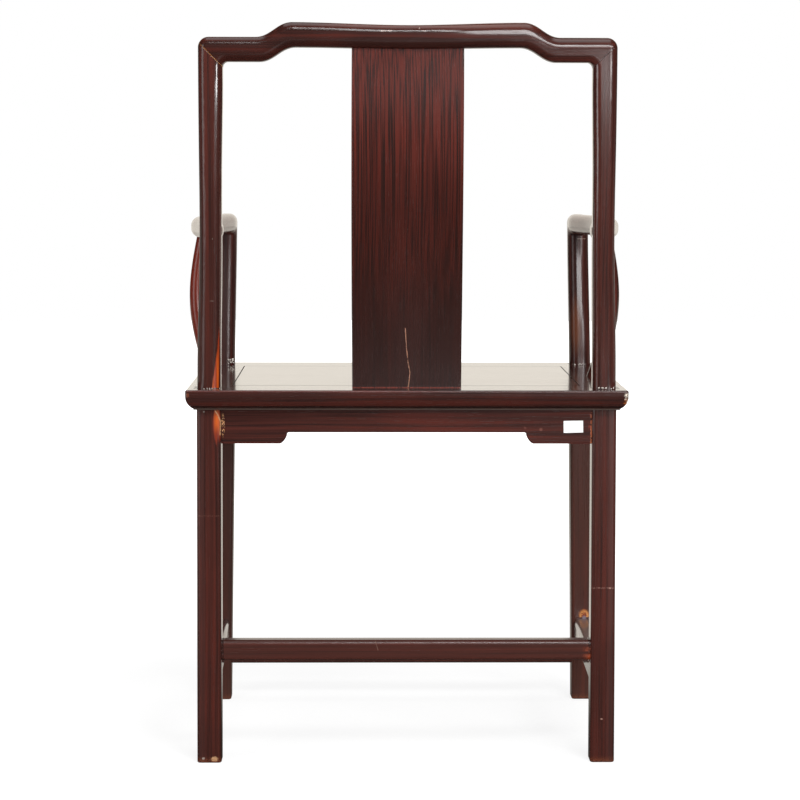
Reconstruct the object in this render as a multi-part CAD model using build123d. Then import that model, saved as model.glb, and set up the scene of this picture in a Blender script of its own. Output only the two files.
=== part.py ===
from build123d import *
import math
import os

# An East Asian "official's hat" armchair in hardwood, its crest and arms mitred to their posts.
# +Z is up, the sitter faces -Y, and +X is the sitter's left. Millimetres.
# The model is built round the middle of the seat and moved at the end, so that the origin
# is under the middle of the whole chair, at the floor.

os.makedirs("parts", exist_ok=True)

# --- Seat frame -------------------------------------------------------------------------------
seat_width = 590.0
seat_depth = 450.0
seat_height = 510.0
frame_thickness = 27.0
side_rail_width = 59.0
end_rail_width = 69.0
moulding_draw_in = 10.4
moulding_arris = 2.5
moulding_band = 5.1
moulding_lip = 1.4
frame_corner_round = 3.0

# --- Seat panel and its battens ---------------------------------------------------------------
panel_thickness = 12.0
panel_gap = 1.5
panel_tongue_length = 7.0
panel_tongue_thickness = 5.0
panel_tongue_depth = 5.0
batten_width = 32.0
batten_spacing = 190.0
batten_lift = 2.0
batten_key_width = 20.0
batten_key_height = 4.0
batten_key_flare = 2.5
batten_tenon_length = 14.0
batten_tenon_width = 20.0
batten_tenon_thickness = 7.0

# --- Legs, back posts and arm posts -----------------------------------------------------------
leg_size = 33.0
leg_round = 5.0
foot_round = 2.0
post_size = 31.6
post_round = 10.0
rear_side_overhang = 13.7
front_side_overhang = 10.8
rear_overhang = 21.5
front_overhang = 13.0
front_splay = 7.5
rear_splay = 2.0
back_height = 464.5
back_straight = 12.0
back_rake = 28.0
back_lean = 5.4
back_waist = 29.2
back_waist_height = 212.0
back_top_width = 32.4

# --- Crest rail -------------------------------------------------------------------------------
crest_thickness = 32.4
crest_corner = 14.0
crest_inner_corner = 7.0
shoulder_rise = 19.3
shoulder_place = 152.0
shoulder_run = 48.0
shoulder_swing = 20.0
under_shoulder_place = 147.0
crest_dip = 3.5
crest_middle_thickness = 31.0

# --- Back splat -------------------------------------------------------------------------------
splat_foot_width = 146.5
splat_middle_width = 148.8
splat_top_width = 147.6
splat_thickness = 11.0
splat_set_in = 38.5
splat_belly = 6.0
splat_edge_round = 1.5
splat_tongue_thickness = 7.0
splat_tongue_length = 9.0
splat_tongue_shoulder = 7.0

# --- Arms and their struts --------------------------------------------------------------------
arm_height = 225.0
arm_thickness = 28.0
arm_width = 30.5
arm_bow = 24.0
arm_round = 12.0
arm_post_lean = 4.6
arm_post_neck = 15.0
arm_corner = 15.0
arm_inner_corner = 4.0
strut_place = 9.0
strut_top_diameter = 15.0
strut_foot_diameter = 23.0
strut_belly = 16.0
strut_foot_inset = 25.0
strut_tenon_length = 10.0
strut_top_tenon_diameter = 9.0
strut_foot_tenon_diameter = 14.0

# --- Aprons -----------------------------------------------------------------------------------
apron_thickness = 12.0
apron_set_back = 6.0
apron_height = 32.2
apron_end_height = 47.4
apron_end_length = 77.7
apron_step_run = 12.8
apron_step_swing = 4.0
apron_step_fillet = 3.0
apron_edge_round = 1.8
apron_tongue_thickness = 6.0
apron_tongue_height = 5.0
apron_housing = 8.0

# --- Stretchers and footrest ------------------------------------------------------------------
stretcher_height = 28.0
stretcher_depth = 24.0
stretcher_round = 6.0
rear_stretcher_top = 168.0
side_stretcher_top = 124.0
footrest_top = 83.2
footrest_height = 28.0
footrest_depth = 30.0
side_stretcher_height = 30.0
rear_stretcher_set_back = 3.5

# --- Joints -----------------------------------------------------------------------------------
tenon_fit = 0.15
tenon_end_gap = 1.0
panel_fit = 0.1
leg_hole_fit = 0.15
rail_tenon_thickness = 9.0
rail_tenon_height = 8.5
rail_tenon_lift = 6.5
rail_tenon_reach = 38.0
rail_tenon_root = 10.0
stretcher_tenon_thickness = 12.0
stretcher_tenon_height = 18.0
stretcher_tenon_length = 20.0
mitre_tenon_size = 14.0
mitre_tenon_root = 12.0
crest_tenon_rise = 15.0
arm_mitre_tenon_rise = 7.0
arm_tenon_size = 14.0
arm_tenon_length = 17.0
peg_diameter = 5.0
peg_length = 22.0
peg_fit = 0.05

# --- Heights and places worked out from the sizes above ---------------------------------------
frame_bottom = seat_height - frame_thickness
half_width = seat_width / 2
half_depth = seat_depth / 2
panel_half_x = half_width - side_rail_width
panel_half_y = half_depth - end_rail_width
rear_leg_x = half_width - rear_side_overhang - leg_size / 2
rear_leg_y = half_depth - rear_overhang - leg_size / 2
front_leg_x = half_width - front_side_overhang - leg_size / 2
front_leg_y = -half_depth + front_overhang + leg_size / 2
crest_end_top = seat_height + back_height
crest_end_bottom = crest_end_top - crest_thickness
crest_shoulder_top = crest_end_top + shoulder_rise
crest_middle_top = crest_shoulder_top - crest_dip
crest_middle_bottom = crest_middle_top - crest_middle_thickness
crest_under_shoulder = crest_middle_bottom + crest_dip / 2
back_curve_start = seat_height + back_straight
arm_top = seat_height + arm_height
arm_bottom = arm_top - arm_thickness
arm_middle = (arm_top + arm_bottom) / 2
beyond = seat_width + seat_depth


# --- Shapes that several pieces share ---------------------------------------------------------
def block(x0, x1, y0, y1, z0, z1):
    """A plain block between two corners."""
    return Pos((x0 + x1) / 2, (y0 + y1) / 2, (z0 + z1) / 2) * Box(x1 - x0, y1 - y0, z1 - z0)


def locking_peg(length, grow=0.0):
    """A round peg standing on the origin, or the hole for it when grown by the fit."""
    return Cylinder(peg_diameter / 2 + grow, length + grow, align=(Align.CENTER, Align.CENTER, Align.MIN))


def face_on(plane, lines):
    """A flat face inside a closed run of lines and curves drawn on a plane."""
    return make_face([plane * line for line in lines]).face()


def through(face, reach):
    """A face carried through the whole chair, both ways."""
    return extrude(face, amount=reach, both=True)


def leaning_stock(x, y, size, rounding, z0, z1, lean_x=0.0):
    """Square stock with rounded edges between two heights, its top moved across by lean_x."""
    section = Pos(x, y, z0) * RectangleRounded(size, size, rounding)
    return Solid.extrude(section.face(), Vector(lean_x, 0, z1 - z0))


def bar_between(start, end, width, height, rounding, longer=0.0):
    """A level bar with rounded edges from one point to another, made longer at both ends."""
    along = (Vector(*end) - Vector(*start)).normalized()
    foot = Vector(*start) - along * longer
    length = (Vector(*end) - Vector(*start)).length + 2 * longer
    across = Vector(0, 0, 1).cross(along)
    section = Plane(origin=foot, x_dir=across, z_dir=along) * RectangleRounded(width, height, rounding)
    return extrude(section, amount=length)


def blend(share):
    """A smooth rise from 0 to 1, level at both ends."""
    share = min(max(share, 0.0), 1.0)
    return share * share * (3 - 2 * share)


def steps(low, high, count):
    """Evenly spaced values from low to high."""
    return [low + (high - low) * step / count for step in range(count + 1)]


def edges_to_round(solid, across, ends):
    """The long edges of a shaped piece: not those on its end planes or straight across it."""
    chosen = []
    for edge in solid.edges():
        middle = edge.position_at(0.5)
        if any(abs(plane.to_local_coords(middle).Z) < 0.01 for plane in ends):
            continue
        if edge.geom_type == GeomType.LINE and abs(edge.tangent_at(0.5).dot(across)) > 0.99:
            continue
        chosen.append(edge)
    return chosen


def both_sides(name, solid):
    """A piece on the sitter's left and its mirror image on the right, by node name."""
    return {name + "_left": solid, name + "_right": mirror(solid, about=Plane.YZ)}


# --- Back posts and crest: one shape, cut apart at the mitres ----------------------------------
def post_rear(height):
    """The rear face of a back post: upright at the seat, raked back, upright again at the crest."""
    share = (height - back_curve_start) / (crest_end_bottom - back_curve_start)
    return rear_leg_y + post_size / 2 + back_rake * blend(share)


def post_middle_y(height):
    return post_rear(height) - post_size / 2


def post_outer_x(height):
    """The outer face of a back post: it leans in over its lower half."""
    return rear_leg_x + post_size / 2 - back_lean * blend((height - back_curve_start) / back_waist_height)


def post_inner_x(height):
    """The inner face of a back post, which is slimmest at its waist."""
    waist = back_curve_start + back_waist_height
    slimming = (post_size - back_waist) * blend((height - back_curve_start) / back_waist_height)
    swelling = (back_top_width - back_waist) * blend((height - waist) / (crest_end_bottom - waist))
    return post_outer_x(height) - post_size + slimming - swelling


crest_inner_z = crest_end_bottom - crest_inner_corner
crest_mitre_x = post_inner_x(crest_inner_z)
crest_mitre = Plane(origin=(crest_mitre_x, 0, crest_inner_z), x_dir=(0, 1, 0), z_dir=(-1, 0, 1))
crest_joint_x = (post_inner_x(crest_end_bottom) + post_outer_x(crest_end_bottom)) / 2
crest_joint_y = post_middle_y(crest_end_top)
crest_joint_z = crest_inner_z + crest_joint_x - crest_mitre_x


def crest_shoulder(x_high, z_high, z_low):
    """The S at a crest shoulder, level at both ends."""
    x_low = x_high + shoulder_run
    upper = [(x_high, z_high), (x_high + shoulder_swing, z_high)]
    lower = [(x_low - shoulder_swing, z_low), (x_low, z_low)]
    return Bezier(*upper, *lower)


def back_front_view():
    """Front view of half the back: one post and half the crest, closed on the middle line."""
    outer_top = post_outer_x(crest_end_top)
    inner_top = crest_mitre_x - crest_inner_corner
    outer_seat = post_outer_x(seat_height)
    inner_seat = post_inner_x(seat_height)
    corner_z = crest_end_top - crest_corner
    outer_points = [(post_outer_x(z), z) for z in steps(back_curve_start, corner_z, 6)]
    inner_points = [(post_inner_x(z), z) for z in steps(back_curve_start, crest_inner_z, 6)]
    upright = [(0, 1), (0, 1)]
    level = [(1, 0), (1, 0)]
    return [
        Spline([(0, crest_middle_top), (shoulder_place, crest_shoulder_top)], tangents=level),
        crest_shoulder(shoulder_place, crest_shoulder_top, crest_end_top),
        Line((shoulder_place + shoulder_run, crest_end_top), (outer_top - crest_corner, crest_end_top)),
        RadiusArc((outer_top - crest_corner, crest_end_top), (outer_top, corner_z), crest_corner),
        Spline(outer_points, tangents=upright),
        Line((outer_seat, back_curve_start), (outer_seat, frame_bottom)),
        Line((outer_seat, frame_bottom), (inner_seat, frame_bottom)),
        Line((inner_seat, frame_bottom), (inner_seat, back_curve_start)),
        Spline(inner_points, tangents=upright),
        RadiusArc((crest_mitre_x, crest_inner_z), (inner_top, crest_end_bottom), -crest_inner_corner),
        Line((inner_top, crest_end_bottom), (under_shoulder_place + shoulder_run, crest_end_bottom)),
        crest_shoulder(under_shoulder_place, crest_under_shoulder, crest_end_bottom),
        Spline([(0, crest_middle_bottom), (under_shoulder_place, crest_under_shoulder)], tangents=level),
        Line((0, crest_middle_bottom), (0, crest_middle_top)),
    ]


def back_side_view():
    """Side view of a back post and the crest: one thickness, raked backwards in an S."""
    rear_points = [(post_rear(z), z) for z in steps(back_curve_start, crest_end_bottom, 6)]
    rear = Spline(rear_points, tangents=[(0, 1), (0, 1)])
    seat_rear = post_rear(seat_height)
    top_rear = post_rear(crest_end_top)
    seat_front = seat_rear - post_size
    top_front = top_rear - post_size
    above = crest_shoulder_top + post_size
    return [
        Line((seat_rear, frame_bottom), (seat_rear, back_curve_start)),
        rear,
        Line((top_rear, crest_end_bottom), (top_rear, above)),
        Line((top_rear, above), (top_front, above)),
        Line((top_front, above), (top_front, crest_end_bottom)),
        Pos(-post_size, 0) * rear,
        Line((seat_front, back_curve_start), (seat_front, frame_bottom)),
        Line((seat_front, frame_bottom), (seat_rear, frame_bottom)),
    ]


def back_half():
    """A back post and half the crest in one shape, its long edges rounded."""
    front_view = through(face_on(Plane.XZ, back_front_view()), seat_depth)
    side_view = through(face_on(Plane.YZ, back_side_view()), seat_width)
    blank = (front_view & side_view).solid()
    ends = [Plane.XY.offset(frame_bottom), Plane.YZ]
    return fillet(edges_to_round(blank, Vector(0, 1, 0), ends), post_round)


def crest_tenon(fit=0.0, gap=0.0):
    """The square tenon on a back post's mitre, or its mortise when grown by the fit."""
    half = mitre_tenon_size / 2 + fit
    return block(
        crest_joint_x - half,
        crest_joint_x + half,
        crest_joint_y - half,
        crest_joint_y + half,
        crest_joint_z - mitre_tenon_root,
        crest_joint_z + crest_tenon_rise + gap,
    )


def crest_peg(grow=0.0):
    """The peg that locks a crest mitre, driven in from the front."""
    front = post_rear(crest_end_top) - post_size
    height = crest_joint_z + crest_tenon_rise / 2
    return Pos(crest_joint_x, front, height) * Rot(-90, 0, 0) * locking_peg(peg_length, grow)


# --- Arms and front posts: one shape in side view, cut apart at the mitres -----------------------
arm_post_front = front_leg_y - post_size / 2
arm_post_rear = front_leg_y + post_size / 2
arm_end_y = front_leg_y - arm_post_neck
arm_end_front = arm_post_front - arm_post_neck
arm_end_rear = arm_post_rear - arm_post_neck
arm_rear_y = post_rear(arm_middle) - post_size
arm_rear_x = (post_inner_x(arm_middle) + post_outer_x(arm_middle)) / 2
arm_front_x = front_leg_x - arm_post_lean
arm_curve_end = arm_bottom - arm_inner_corner - back_straight
arm_mitre = Plane(
    origin=(0, arm_end_rear, arm_bottom),
    x_dir=(1, 0, 0),
    z_dir=(0, arm_thickness, post_size),
)


def arm_middle_x(y):
    """The middle line of an arm in plan, bowed outwards between its two posts."""
    share = min(max((y - arm_end_rear) / (arm_rear_y - arm_end_rear), 0.0), 1.0)
    straight = arm_front_x + (arm_rear_x - arm_front_x) * blend(share)
    return straight + arm_bow * math.sin(math.pi * share) ** 1.5


def neck_offset(height):
    """The goose neck of a front post: it swings forwards in an S between seat and arm."""
    return -arm_post_neck * blend((height - back_curve_start) / (arm_curve_end - back_curve_start))


def arm_side_view():
    """Side view of a front post and its arm, with a round outer corner."""
    points = [(arm_post_front + neck_offset(z), z) for z in steps(back_curve_start, arm_curve_end, 8)]
    front = Spline(points, tangents=[(0, 1), (0, 1)])
    rear_end = post_middle_y(arm_middle)
    inner_end = (arm_end_rear, arm_bottom - arm_inner_corner)
    outer_end = arm_top - arm_corner
    return [
        Line((arm_post_front, frame_bottom), (arm_post_front, back_curve_start)),
        front,
        Line((arm_end_front, arm_curve_end), (arm_end_front, outer_end)),
        RadiusArc((arm_end_front, outer_end), (arm_end_front + arm_corner, arm_top), arm_corner),
        Line((arm_end_front + arm_corner, arm_top), (rear_end, arm_top)),
        Line((rear_end, arm_top), (rear_end, arm_bottom)),
        Line((rear_end, arm_bottom), (arm_end_rear + arm_inner_corner, arm_bottom)),
        RadiusArc((arm_end_rear + arm_inner_corner, arm_bottom), inner_end, -arm_inner_corner),
        Line(inner_end, (arm_end_rear, arm_curve_end)),
        Pos(post_size, 0) * front,
        Line((arm_post_rear, back_curve_start), (arm_post_rear, frame_bottom)),
        Line((arm_post_rear, frame_bottom), (arm_post_front, frame_bottom)),
    ]


def arm_plan():
    """Plan of an arm: one width, bowed outwards."""
    places = steps(arm_end_rear, arm_rear_y, 10)
    points = [(arm_middle_x(y) - arm_width / 2, y) for y in places]
    inner = Spline(points, tangents=[(0, 1), (0, 1)])
    front_inner = arm_front_x - arm_width / 2
    front_outer = arm_front_x + arm_width / 2
    rear_inner = arm_rear_x - arm_width / 2
    rear_outer = arm_rear_x + arm_width / 2
    front_end = arm_end_front - arm_width
    rear_end = post_rear(arm_middle)
    return [
        Line((front_inner, front_end), (front_inner, arm_end_rear)),
        inner,
        Line((rear_inner, arm_rear_y), (rear_inner, rear_end)),
        Line((rear_inner, rear_end), (rear_outer, rear_end)),
        Line((rear_outer, rear_end), (rear_outer, arm_rear_y)),
        Pos(arm_width, 0) * inner,
        Line((front_outer, arm_end_rear), (front_outer, front_end)),
        Line((front_outer, front_end), (front_inner, front_end)),
    ]


def arm_post_front_view():
    """Front view of a front post: it leans in towards the arm and slims to the arm's width."""
    corners = [
        (front_leg_x - post_size / 2, frame_bottom),
        (front_leg_x + post_size / 2, frame_bottom),
        (arm_front_x + arm_width / 2, arm_top),
        (arm_front_x - arm_width / 2, arm_top),
    ]
    return [Line(corners[corner - 1], corners[corner]) for corner in range(4)]


def arm_blank():
    """A left arm from its front mitre to the middle of the back post, its long edges rounded."""
    side_view = through(face_on(Plane.YZ, arm_side_view()), seat_width)
    plan = through(face_on(Plane.XY, arm_plan()), beyond)
    blank = split((side_view & plan).solid(), bisect_by=arm_mitre, keep=Keep.TOP).solid()
    ends = [arm_mitre, Plane.XZ.offset(-post_middle_y(arm_middle))]
    return fillet(edges_to_round(blank, Vector(1, 0, 0), ends), arm_round)


def arm_post_blank():
    """A left front post from under the seat frame to its mitre, its long edges rounded."""
    side_view = through(face_on(Plane.YZ, arm_side_view()), seat_width)
    front_view = through(face_on(Plane.XZ, arm_post_front_view()), seat_depth)
    blank = split((side_view & front_view).solid(), bisect_by=arm_mitre, keep=Keep.BOTTOM).solid()
    ends = [arm_mitre, Plane.XY.offset(frame_bottom)]
    return fillet(edges_to_round(blank, Vector(1, 0, 0), ends), arm_round)


def arm_front_tenon(fit=0.0, gap=0.0):
    """The square tenon on a front post's mitre, or its mortise when grown by the fit."""
    half = mitre_tenon_size / 2 + fit
    return block(
        arm_front_x - half,
        arm_front_x + half,
        arm_end_y - half,
        arm_end_y + half,
        arm_middle - mitre_tenon_root,
        arm_middle + arm_mitre_tenon_rise + gap,
    )


def arm_rear_tenon(fit=0.0, gap=0.0):
    """The square tenon of an arm in the back post, or its mortise when grown by the fit."""
    half = arm_tenon_size / 2 + fit
    return block(
        arm_rear_x - half,
        arm_rear_x + half,
        arm_rear_y - arm_tenon_length,
        arm_rear_y + arm_tenon_length + gap,
        arm_middle - half,
        arm_middle + half,
    )


def arm_peg(grow=0.0):
    """The peg that locks an arm mitre, driven in from the inner side."""
    inner_face = arm_front_x - arm_width / 2
    return Pos(inner_face, arm_end_y, arm_middle) * Rot(0, 90, 0) * locking_peg(peg_length, grow)


# --- Struts under the arms ----------------------------------------------------------------------
strut_foot_x = half_width - strut_foot_inset
strut_top_x = arm_middle_x(strut_place)


def arm_strut():
    """A round strut that bellies outwards and thickens to its foot, with a round tenon at each end."""
    rings = []
    for share in steps(0.0, 1.0, 6):
        x = strut_foot_x + (strut_top_x - strut_foot_x) * share + strut_belly * math.sin(math.pi * share)
        diameter = strut_foot_diameter + (strut_top_diameter - strut_foot_diameter) * share
        height = seat_height + (arm_bottom - seat_height) * share
        rings.append(Pos(x, strut_place, height) * Circle(diameter / 2).face())
    body = loft(rings)
    return body + strut_tenons()


def strut_tenons(fit=0.0, gap=0.0):
    """The strut's round tenons in the side rail and the arm, or their mortises."""
    reach = 2 * (strut_tenon_length + gap)
    foot = Cylinder(strut_foot_tenon_diameter / 2 + fit, reach)
    top = Cylinder(strut_top_tenon_diameter / 2 + fit, reach)
    return Pos(strut_foot_x, strut_place, seat_height) * foot + Pos(strut_top_x, strut_place, arm_bottom) * top


# --- Back splat -----------------------------------------------------------------------------------
splat_foot_y = half_depth - splat_set_in - splat_thickness / 2
splat_top_y = post_middle_y(crest_end_top)
splat_top = crest_middle_bottom + crest_dip


def splat_y(height):
    """The middle of the splat in side view: forward at the small of the back, then raked back."""
    share = (height - seat_height) / (splat_top - seat_height)
    raked = splat_foot_y + (splat_top_y - splat_foot_y) * blend(share)
    return raked - splat_belly * math.sin(math.pi * share)


def splat_blank():
    """The splat's board from the seat to the crest, its long edges softened."""
    heights = steps(seat_height, splat_top, 6)
    rear = Spline([(splat_y(z) + splat_thickness / 2, z) for z in heights])
    rear_foot = splat_y(seat_height) + splat_thickness / 2
    rear_top = splat_y(splat_top) + splat_thickness / 2
    side_view = [
        rear,
        Line((rear_top, splat_top), (rear_top - splat_thickness, splat_top)),
        Pos(-splat_thickness, 0) * rear,
        Line((rear_foot - splat_thickness, seat_height), (rear_foot, seat_height)),
    ]
    widths = [splat_foot_width, splat_middle_width, splat_top_width]
    left = Spline([(width / 2, z) for width, z in zip(widths, steps(seat_height, splat_top, 2))])
    front_view = [
        left,
        Line((splat_top_width / 2, splat_top), (-splat_top_width / 2, splat_top)),
        mirror(left, about=Plane.YZ),
        Line((-splat_foot_width / 2, seat_height), (splat_foot_width / 2, seat_height)),
    ]
    board = through(face_on(Plane.YZ, side_view), seat_width)
    board &= through(face_on(Plane.XZ, front_view), seat_depth)
    ends = [Plane.XY.offset(seat_height), Plane.XY.offset(splat_top)]
    return fillet(edges_to_round(board.solid(), Vector(0, 0, 0), ends), splat_edge_round)


def splat_tongues(fit=0.0, gap=0.0):
    """The splat's tongues in the rear rail and the crest, or their grooves when grown by the fit."""
    reach = splat_tongue_length + gap
    thickness = splat_tongue_thickness + 2 * fit
    foot_width = splat_foot_width - 2 * splat_tongue_shoulder + 2 * fit
    top_width = splat_top_width - 2 * splat_tongue_shoulder + 2 * fit
    foot = Box(foot_width, thickness, reach, align=(Align.CENTER, Align.CENTER, Align.MAX))
    top = Box(top_width, thickness, 2 * reach)
    return Pos(0, splat_foot_y, seat_height) * foot, Pos(0, splat_top_y, crest_middle_bottom) * top


# --- Seat frame -------------------------------------------------------------------------------------
tongue_top = seat_height - panel_tongue_depth
tongue_bottom = tongue_top - panel_tongue_thickness
panel_bottom = seat_height - panel_thickness
rear_tenon_y = (panel_half_y + rear_leg_y - post_size / 2) / 2
front_tenon_y = (-panel_half_y + front_leg_y + post_size / 2) / 2


def moulded_edge(plane, half_size):
    """The seat frame's outline in one view: a soft arris, a band, a round under-cut and a thin lip."""
    drop = frame_thickness - moulding_arris - moulding_band - moulding_lip
    radius = (moulding_draw_in**2 + drop**2) / (2 * moulding_draw_in)
    arris_z = seat_height - moulding_arris
    turn_z = arris_z - moulding_band
    lip_z = frame_bottom + moulding_lip
    bottom = half_size - moulding_draw_in
    flat = half_size - moulding_arris
    lines = [Line((-flat, seat_height), (flat, seat_height))]
    lines.append(Line((-bottom, frame_bottom), (bottom, frame_bottom)))
    for side in (1, -1):
        edge = side * half_size
        lines.append(RadiusArc((side * flat, seat_height), (edge, arris_z), side * moulding_arris))
        lines.append(Line((edge, arris_z), (edge, turn_z)))
        lines.append(RadiusArc((edge, turn_z), (side * bottom, lip_z), side * radius))
        lines.append(Line((side * bottom, lip_z), (side * bottom, frame_bottom)))
    return face_on(plane, lines)


def leg_holes():
    """The fitted holes in the frame's corners that the four legs pass through."""
    size = post_size + 2 * leg_hole_fit
    rear_round = post_round + leg_hole_fit
    front_round = arm_round + leg_hole_fit
    low = frame_bottom - frame_thickness
    high = seat_height + frame_thickness
    lean_rate = arm_post_lean / (arm_top - frame_bottom)
    front_x = front_leg_x + lean_rate * (frame_bottom - low)
    rear = leaning_stock(rear_leg_x, rear_leg_y, size, rear_round, low, high)
    front = leaning_stock(front_x, front_leg_y, size, front_round, low, high, -lean_rate * (high - low))
    return [rear, front, mirror(rear, about=Plane.YZ), mirror(front, about=Plane.YZ)]


def rail_tenon(y, fit=0.0, gap=0.0):
    """The tenon of a front or rear rail in the left rail, or its mortise when grown by the fit."""
    half_y = rail_tenon_thickness / 2 + fit
    low = frame_bottom + rail_tenon_lift
    x0 = panel_half_x - rail_tenon_root
    x1 = panel_half_x + rail_tenon_reach + gap
    return block(x0, x1, y - half_y, y + half_y, low - fit, low + rail_tenon_height + fit)


def rail_peg(y, grow=0.0):
    """The peg that locks a frame corner, driven up from below through the tenon."""
    length = rail_tenon_lift + rail_tenon_height
    return Pos(panel_half_x + rail_tenon_reach / 2, y, frame_bottom) * locking_peg(length, grow)


def seat_frame():
    """The moulded frame in one piece, grooved for the panel, splat, aprons and battens."""
    edge = through(moulded_edge(Plane.XZ, half_width), seat_depth)
    frame = edge & through(moulded_edge(Plane.YZ, half_depth), seat_width)
    frame &= through(RectangleRounded(seat_width, seat_depth, frame_corner_round).face(), beyond)
    frame -= block(-panel_half_x, panel_half_x, -panel_half_y, panel_half_y, frame_bottom, seat_height)
    reach = panel_tongue_length + tenon_end_gap
    groove_x = panel_half_x + reach
    groove_y = panel_half_y + reach
    low = tongue_bottom - panel_fit
    frame -= block(-groove_x, groove_x, -groove_y, groove_y, low, tongue_top + panel_fit)
    cuts = leg_holes() + [splat_tongues(tenon_fit, tenon_end_gap)[0], *apron_tongue_grooves()]
    strut_mortises = strut_tenons(tenon_fit, tenon_end_gap)
    cuts += [strut_mortises, mirror(strut_mortises, about=Plane.YZ)]
    cuts += [batten_tenons(side, tenon_fit, tenon_end_gap) for side in (1, -1)]
    for cut in cuts:
        frame -= cut
    return frame


def corner_mitre(side_x, side_y):
    """The mitre plane at one corner of the frame, facing away from the front or rear rail there."""
    corner = (side_x * panel_half_x, side_y * panel_half_y, 0)
    facing = (side_x * end_rail_width, -side_y * side_rail_width, 0)
    return Plane(origin=corner, x_dir=(0, 0, 1), z_dir=facing)


def cut_twice(solid, first, second, keep):
    return split(split(solid, bisect_by=first, keep=keep), bisect_by=second, keep=keep)


def seat_rails(frame):
    """The four rails: the frame cut along its mitres, with tenons on the front and rear rails."""
    left = cut_twice(frame, corner_mitre(1, 1), corner_mitre(1, -1), Keep.TOP)
    rear = cut_twice(frame, corner_mitre(1, 1), corner_mitre(-1, 1), Keep.BOTTOM)
    front = cut_twice(frame, corner_mitre(1, -1), corner_mitre(-1, -1), Keep.BOTTOM)
    rear = max(rear.solids(), key=lambda piece: piece.center().Y)
    front = min(front.solids(), key=lambda piece: piece.center().Y)
    left = max(left.solids(), key=lambda piece: piece.center().X)
    for y in (rear_tenon_y, front_tenon_y):
        left = left - rail_tenon(y, tenon_fit, tenon_end_gap) - rail_peg(y, peg_fit)
    ends = {rear_tenon_y: rear, front_tenon_y: front}
    for y, rail in ends.items():
        tenon = rail_tenon(y) - rail_peg(y, peg_fit)
        ends[y] = rail + tenon + mirror(tenon, about=Plane.YZ)
    return {
        "seat_rail_rear": ends[rear_tenon_y],
        "seat_rail_front": ends[front_tenon_y],
        **both_sides("seat_rail", left),
    }


# --- Seat panel and battens ---------------------------------------------------------------------------
def batten_key(side, grow=0.0):
    """The dovetailed key along a batten's back, which slides in the panel."""
    middle = side * batten_spacing / 2
    foot = batten_key_width / 2 + grow
    head = foot + batten_key_flare
    top = panel_bottom + batten_key_height + grow
    corners = [(-foot, panel_bottom), (foot, panel_bottom), (head, top), (-head, top)]
    lines = [Line(corners[corner - 1], corners[corner]) for corner in range(4)]
    reach = panel_half_y - panel_gap + (panel_tongue_length + panel_gap if grow else 0.0)
    return Pos(middle, 0, 0) * through(face_on(Plane.XZ, lines), reach)


def batten_tenons(side, fit=0.0, gap=0.0):
    """A batten's tenons in the front and rear rails, or their mortises when grown by the fit."""
    middle = side * batten_spacing / 2
    centre_z = (frame_bottom + batten_lift + panel_bottom) / 2
    half_x = batten_tenon_width / 2 + fit
    half_z = batten_tenon_thickness / 2 + fit
    half_y = panel_half_y + batten_tenon_length + gap
    return block(middle - half_x, middle + half_x, -half_y, half_y, centre_z - half_z, centre_z + half_z)


def seat_batten(side):
    """A batten under the panel: square bar, dovetailed key on top, a tenon at each end."""
    x0 = side * batten_spacing / 2 - batten_width / 2
    low = frame_bottom + batten_lift
    bar = block(x0, x0 + batten_width, -panel_half_y, panel_half_y, low, panel_bottom)
    return bar + batten_key(side) + batten_tenons(side)


def seat_panel():
    """The panel: flush with the frame, with a tongue all round and two dovetailed grooves below."""
    half_x = panel_half_x - panel_gap
    half_y = panel_half_y - panel_gap
    board = block(-half_x, half_x, -half_y, half_y, panel_bottom, seat_height)
    tongue_x = panel_half_x + panel_tongue_length
    tongue_y = panel_half_y + panel_tongue_length
    board += block(-tongue_x, tongue_x, -tongue_y, tongue_y, tongue_bottom, tongue_top)
    return board - batten_key(1, panel_fit) - batten_key(-1, panel_fit)


# --- Aprons ---------------------------------------------------------------------------------------------
apron_rear_y = rear_leg_y + leg_size / 2 - apron_set_back - apron_thickness / 2
apron_front_y = front_leg_y - leg_size / 2 + apron_set_back + apron_thickness / 2
apron_side_x = rear_leg_x + leg_size / 2 - apron_set_back - apron_thickness / 2
side_span_rear = rear_leg_y - leg_size / 2
side_span_front = front_leg_y + leg_size / 2
side_span = side_span_rear - side_span_front
side_middle_y = (side_span_rear + side_span_front) / 2
on_left_side = Pos(apron_side_x, side_middle_y, 0) * Rot(0, 0, 90)
rear_span = 2 * rear_leg_x - leg_size
front_span = 2 * front_leg_x - leg_size


def apron(span):
    """An apron board along X: dropped ends, a round step and a tongue along its top."""
    half = span / 2 + apron_housing
    low = frame_bottom - apron_end_height
    high = frame_bottom - apron_height
    step_start = span / 2 - apron_end_length
    step_end = step_start - apron_step_run
    head_x = step_end + apron_step_fillet
    head_z = high - apron_step_fillet
    lines = [Line((-half, frame_bottom), (half, frame_bottom)), Line((-step_end, high), (step_end, high))]
    for side in (1, -1):
        lines.append(Line((side * half, frame_bottom), (side * half, low)))
        lines.append(Line((side * half, low), (side * step_start, low)))
        from_foot = (side * (step_start - apron_step_swing), low)
        to_head = (side * head_x, head_z - apron_step_swing)
        head = (side * head_x, head_z)
        lines.append(Bezier((side * step_start, low), from_foot, to_head, head))
        lines.append(RadiusArc(head, (side * step_end, high), -side * apron_step_fillet))
    board = through(face_on(Plane.XZ, lines), apron_thickness / 2)
    ends = [Plane.XY.offset(frame_bottom), Plane.YZ.offset(half), Plane.YZ.offset(-half)]
    board = fillet(edges_to_round(board.solid(), Vector(0, 1, 0), ends), apron_edge_round)
    return board + apron_tongue(span)


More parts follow.
